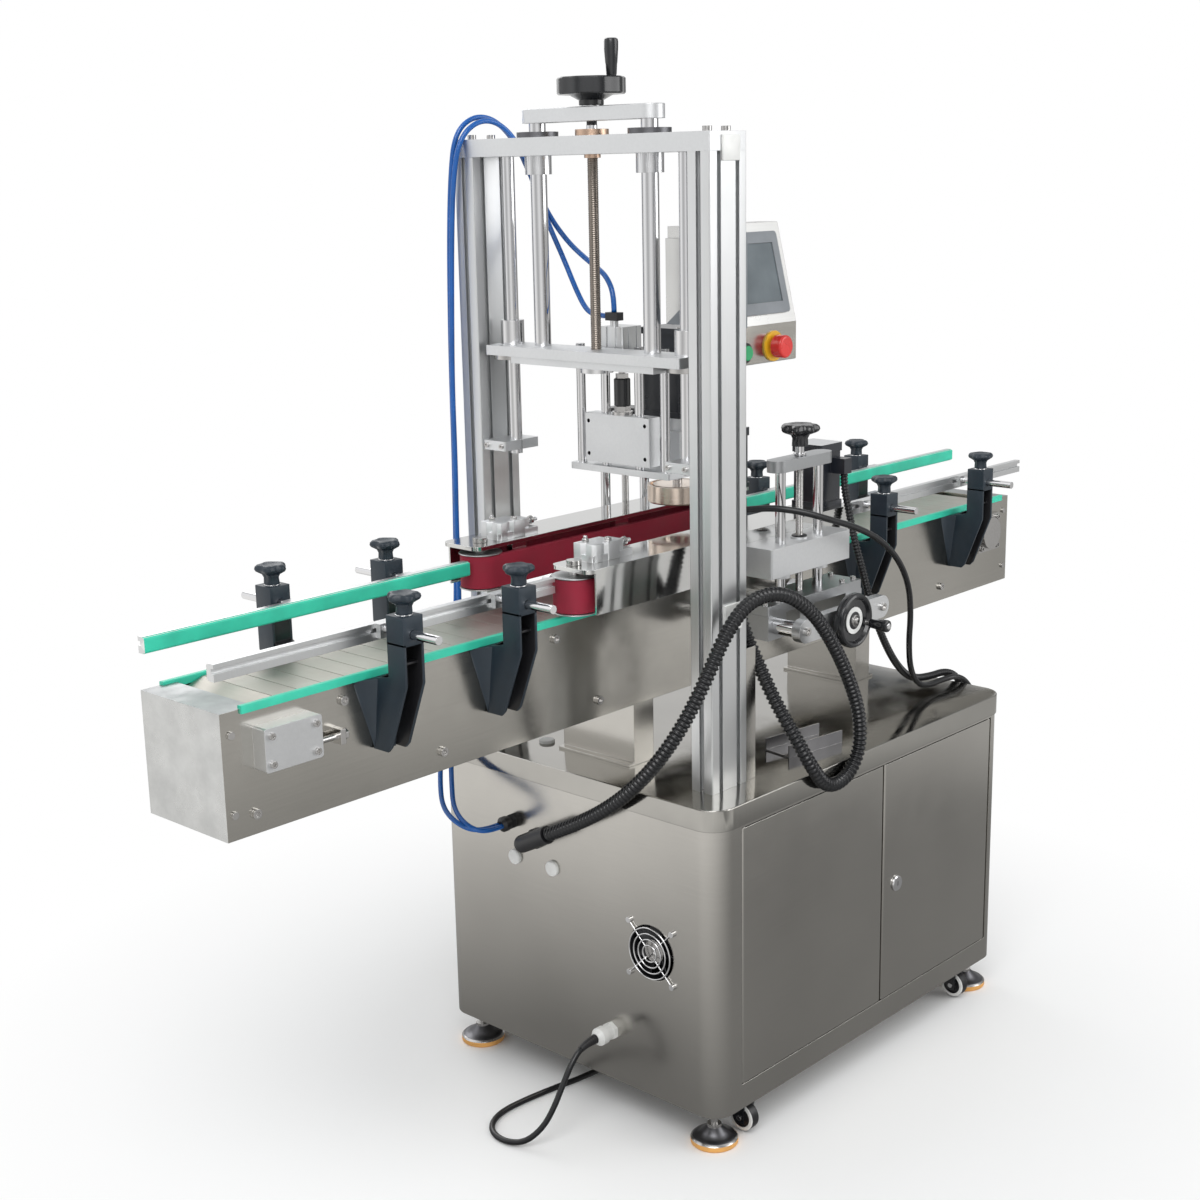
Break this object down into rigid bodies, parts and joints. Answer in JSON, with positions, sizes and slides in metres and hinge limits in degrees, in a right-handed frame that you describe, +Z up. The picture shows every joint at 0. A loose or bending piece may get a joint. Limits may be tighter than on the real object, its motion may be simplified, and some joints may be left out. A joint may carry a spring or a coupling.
{
  "type": "bottle capping machine",
  "caption": "Free-standing capping machine: slat conveyor through side belts under a spindle head on a gantry, on a steel cabinet.",
  "frame": {"origin": "on the floor, under the middle of the guide rails' length and between the two cross handwheels", "axes": "+X along the conveyor in the direction of travel, -Y towards the operator, +Z up"},
  "size_m": [1.892, 0.6568, 1.607],
  "materials": {
    "cabinet_steel": "brushed",
    "top_steel": "brushed, reflective",
    "foot_chrome": "polished",
    "fork_black": "satin",
    "caster_white": "smooth",
    "fan_black": "matte",
    "gland_white": "smooth",
    "module_grey": "satin",
    "door_steel": "brushed",
    "lock_chrome": "polished",
    "column_aluminium": "anodised",
    "beam_aluminium": "machined",
    "fitting_chrome": "ground",
    "console_steel": "brushed",
    "conveyor_steel": "brushed",
    "chain_steel": "worn",
    "gearmotor_grey": "satin",
    "bracket_plastic": "fine grain",
    "rail_aluminium": "anodised",
    "slide_aluminium": "machined",
    "carriage_aluminium": "machined",
    "lift_shaft_chrome": "ground",
    "screw_steel": "turned",
    "press_aluminium": "machined",
    "servo_black": "satin",
    "chuck_copper": "anodised",
    "belt_red": "soft",
    "pulley_aluminium": "turned",
    "cover_steel": "brushed",
    "knob_black": "fine grain",
    "stop_red": "smooth",
    "start_green": "smooth",
    "conduit_black": "corrugated",
    "air_blue": "smooth",
    "mains_black": "smooth",
    "plug_black": "smooth"
  },
  "bodies": {
    "frame": {"cabinet_shell": "cabinet_steel", "top_plate": "top_steel", "levelling_feet": "foot_chrome", "caster_forks": "fork_black", "fan_frame": "fan_black", "cable_glands": "gland_white", "electrical_panel": "module_grey", "gantry_columns": "column_aluminium", "top_beam": "beam_aluminium", "gantry_fittings": "fitting_chrome", "hmi_console": "console_steel", "conveyor_frame": "conveyor_steel", "slat_chain": "chain_steel", "conveyor_gearmotor": "gearmotor_grey", "rail_brackets": "bracket_plastic", "cross_slide_rails": "fitting_chrome", "machine_conduits": "conduit_black", "air_tubes": "air_blue", "mains_cord_lead": "mains_black", "mains_cord_coil": "mains_black", "mains_plug": "plug_black"},
    "carriage": {"carriage": "carriage_aluminium", "carriage_shafts": "lift_shaft_chrome"},
    "lead_screw": {"lead_screw": "screw_steel"},
    "press_head": {"press_block": "press_aluminium", "head_carrier": "press_aluminium", "head_motor": "servo_black"},
    "chuck": {"chuck": "chuck_copper"},
    "conveyor_drive_shaft": {"conveyor_drive_shaft": "fitting_chrome"},
    "conveyor_idle_shaft": {"conveyor_idle_shaft": "fitting_chrome"},
    "emergency_stop": {"emergency_stop": "stop_red"},
    "start_button": {"start_button": "start_green"},
    "door_left": {"door_left": "door_steel"},
    "door_right": {"door_right": "door_steel"},
    "door_lock": {"door_lock": "lock_chrome"},
    "fan_rotor": {"fan_rotor": "fan_black"},
    "cross_slide_near": {"cross_slide_near": "slide_aluminium"},
    "cross_screw_near": {"cross_screw_near": "knob_black"},
    "belt_unit_near": {"belt_unit_near": "cover_steel", "side_belt_near": "belt_red", "belt_motor_near": "servo_black"},
    "height_screw_near": {"height_screw_near": "knob_black"},
    "drive_pulley_near": {"drive_pulley_near": "pulley_aluminium"},
    "idler_pulley_near": {"idler_pulley_near": "pulley_aluminium"},
    "cross_slide_far": {"cross_slide_far": "slide_aluminium"},
    "cross_screw_far": {"cross_screw_far": "knob_black"},
    "belt_unit_far": {"belt_unit_far": "cover_steel", "side_belt_far": "belt_red", "belt_motor_far": "servo_black"},
    "height_screw_far": {"height_screw_far": "knob_black"},
    "drive_pulley_far": {"drive_pulley_far": "pulley_aluminium"},
    "idler_pulley_far": {"idler_pulley_far": "pulley_aluminium"},
    "rail_near_infeed": {"rail_near_infeed": "rail_aluminium"},
    "rail_far_infeed": {"rail_far_infeed": "rail_aluminium"},
    "rail_near_outfeed": {"rail_near_outfeed": "rail_aluminium"},
    "rail_far_outfeed": {"rail_far_outfeed": "rail_aluminium"},
    "caster_wheel_1": {"caster_wheel_1": "caster_white"},
    "caster_wheel_2": {"caster_wheel_2": "caster_white"},
    "caster_wheel_3": {"caster_wheel_3": "caster_white"},
    "caster_wheel_4": {"caster_wheel_4": "caster_white"}
  },
  "joints": [
    {"name": "carriage_lift", "type": "slide", "parent": "frame", "child": "carriage", "axis": [0, 0, 1], "range_m": [-0.01, 0.2], "deforming": ["air_tubes"]},
    {"name": "lead_screw_turn", "type": "hinge", "parent": "carriage", "child": "lead_screw", "pos_m": [-0.1744, 0, 1.3], "axis": [0, 0, 1], "range_deg": [-900, 18000]},
    {"name": "press_stroke", "type": "slide", "parent": "carriage", "child": "press_head", "axis": [0, 0, 1], "range_m": [-0.005, 0.015]},
    {"name": "chuck_spin", "type": "hinge", "parent": "press_head", "child": "chuck", "pos_m": [0.007, 0, 0.96], "axis": [0, 0, 1], "continuous": true},
    {"name": "conveyor_drive_turn", "type": "hinge", "parent": "frame", "child": "conveyor_drive_shaft", "pos_m": [0.806, 0, 0.746], "axis": [0, 1, 0], "continuous": true},
    {"name": "conveyor_idle_turn", "type": "hinge", "parent": "frame", "child": "conveyor_idle_shaft", "pos_m": [-0.846, 0, 0.746], "axis": [0, 1, 0], "continuous": true},
    {"name": "cross_slide_near_move", "type": "slide", "parent": "frame", "child": "cross_slide_near", "axis": [0, 1, 0], "range_m": [-0.03, 0.015]},
    {"name": "cross_screw_near_turn", "type": "hinge", "parent": "frame", "child": "cross_screw_near", "pos_m": [0.0845, -0.18, 0.75], "axis": [0, 1, 0], "range_deg": [-1800, 3600]},
    {"name": "belt_height_near", "type": "slide", "parent": "cross_slide_near", "child": "belt_unit_near", "axis": [0, 0, 1], "range_m": [-0.006, 0.06], "deforming": ["machine_conduits"]},
    {"name": "height_screw_near_turn", "type": "hinge", "parent": "cross_slide_near", "child": "height_screw_near", "pos_m": [0.0845, -0.181, 0.9], "axis": [0, 0, 1], "range_deg": [-7200, 720]},
    {"name": "drive_pulley_near_turn", "type": "hinge", "parent": "belt_unit_near", "child": "drive_pulley_near", "pos_m": [0.247, -0.096, 0.845], "axis": [0, 0, 1], "continuous": true},
    {"name": "idler_pulley_near_turn", "type": "hinge", "parent": "belt_unit_near", "child": "idler_pulley_near", "pos_m": [-0.333, -0.096, 0.845], "axis": [0, 0, 1], "continuous": true},
    {"name": "cross_slide_far_move", "type": "slide", "parent": "frame", "child": "cross_slide_far", "axis": [0, -1, 0], "range_m": [-0.03, 0.015]},
    {"name": "cross_screw_far_turn", "type": "hinge", "parent": "frame", "child": "cross_screw_far", "pos_m": [0.0845, 0.18, 0.75], "axis": [0, -1, 0], "range_deg": [-1800, 3600]},
    {"name": "belt_height_far", "type": "slide", "parent": "cross_slide_far", "child": "belt_unit_far", "axis": [0, 0, 1], "range_m": [-0.012, 0.06]},
    {"name": "height_screw_far_turn", "type": "hinge", "parent": "cross_slide_far", "child": "height_screw_far", "pos_m": [0.0845, 0.181, 0.9], "axis": [0, 0, 1], "range_deg": [-7200, 1440]},
    {"name": "drive_pulley_far_turn", "type": "hinge", "parent": "belt_unit_far", "child": "drive_pulley_far", "pos_m": [0.247, 0.096, 0.845], "axis": [0, 0, 1], "continuous": true},
    {"name": "idler_pulley_far_turn", "type": "hinge", "parent": "belt_unit_far", "child": "idler_pulley_far", "pos_m": [-0.333, 0.096, 0.845], "axis": [0, 0, 1], "continuous": true},
    {"name": "rail_near_infeed_shift", "type": "slide", "parent": "frame", "child": "rail_near_infeed", "axis": [0, 1, 0], "range_m": [0, 0.04]},
    {"name": "rail_far_infeed_shift", "type": "slide", "parent": "frame", "child": "rail_far_infeed", "axis": [0, -1, 0], "range_m": [0, 0.04]},
    {"name": "rail_near_outfeed_shift", "type": "slide", "parent": "frame", "child": "rail_near_outfeed", "axis": [0, 1, 0], "range_m": [0, 0.04]},
    {"name": "rail_far_outfeed_shift", "type": "slide", "parent": "frame", "child": "rail_far_outfeed", "axis": [0, -1, 0], "range_m": [0, 0.04]},
    {"name": "emergency_stop_push", "type": "slide", "parent": "frame", "child": "emergency_stop", "axis": [0, 1, 0], "range_m": [0, 0.005]},
    {"name": "start_button_push", "type": "slide", "parent": "frame", "child": "start_button", "axis": [0, 1, 0], "range_m": [0, 0.003], "stiffness_N_per_m": 400},
    {"name": "door_left_swing", "type": "hinge", "parent": "frame", "child": "door_left", "pos_m": [-0.206, -0.299, 0.3], "axis": [0, 0, -1], "range_deg": [0, 110]},
    {"name": "door_right_swing", "type": "hinge", "parent": "frame", "child": "door_right", "pos_m": [0.464, -0.299, 0.3], "axis": [0, 0, 1], "range_deg": [0, 110]},
    {"name": "door_lock_turn", "type": "hinge", "parent": "door_right", "child": "door_lock", "pos_m": [0.1885, -0.297, 0.292], "axis": [0, 1, 0], "range_deg": [-90, 0]},
    {"name": "fan_spin", "type": "hinge", "parent": "frame", "child": "fan_rotor", "pos_m": [-0.257, -0.1768, 0.2936], "axis": [1, 0, 0], "continuous": true},
    {"name": "caster_wheel_1_roll", "type": "hinge", "parent": "frame", "child": "caster_wheel_1", "pos_m": [-0.178, -0.279, 0.025], "axis": [1, 0, 0], "continuous": true},
    {"name": "caster_wheel_2_roll", "type": "hinge", "parent": "frame", "child": "caster_wheel_2", "pos_m": [-0.178, 0.253, 0.025], "axis": [1, 0, 0], "continuous": true},
    {"name": "caster_wheel_3_roll", "type": "hinge", "parent": "frame", "child": "caster_wheel_3", "pos_m": [0.416, -0.279, 0.025], "axis": [1, 0, 0], "continuous": true},
    {"name": "caster_wheel_4_roll", "type": "hinge", "parent": "frame", "child": "caster_wheel_4", "pos_m": [0.416, 0.253, 0.025], "axis": [1, 0, 0], "continuous": true}
  ],
  "couplings": [
    {"joint": "lead_screw_turn", "follows": "carriage_lift", "rad_per_m": 1570.8},
    {"joint": "conveyor_idle_turn", "follows": "conveyor_drive_turn", "ratio": 1},
    {"joint": "cross_screw_near_turn", "follows": "cross_slide_near_move", "rad_per_m": -2094.4},
    {"joint": "height_screw_near_turn", "follows": "belt_height_near", "rad_per_m": -2094.4},
    {"joint": "idler_pulley_near_turn", "follows": "drive_pulley_near_turn", "ratio": 1},
    {"joint": "cross_screw_far_turn", "follows": "cross_slide_far_move", "rad_per_m": -2094.4},
    {"joint": "height_screw_far_turn", "follows": "belt_height_far", "rad_per_m": -2094.4},
    {"joint": "idler_pulley_far_turn", "follows": "drive_pulley_far_turn", "ratio": 1}
  ]
}
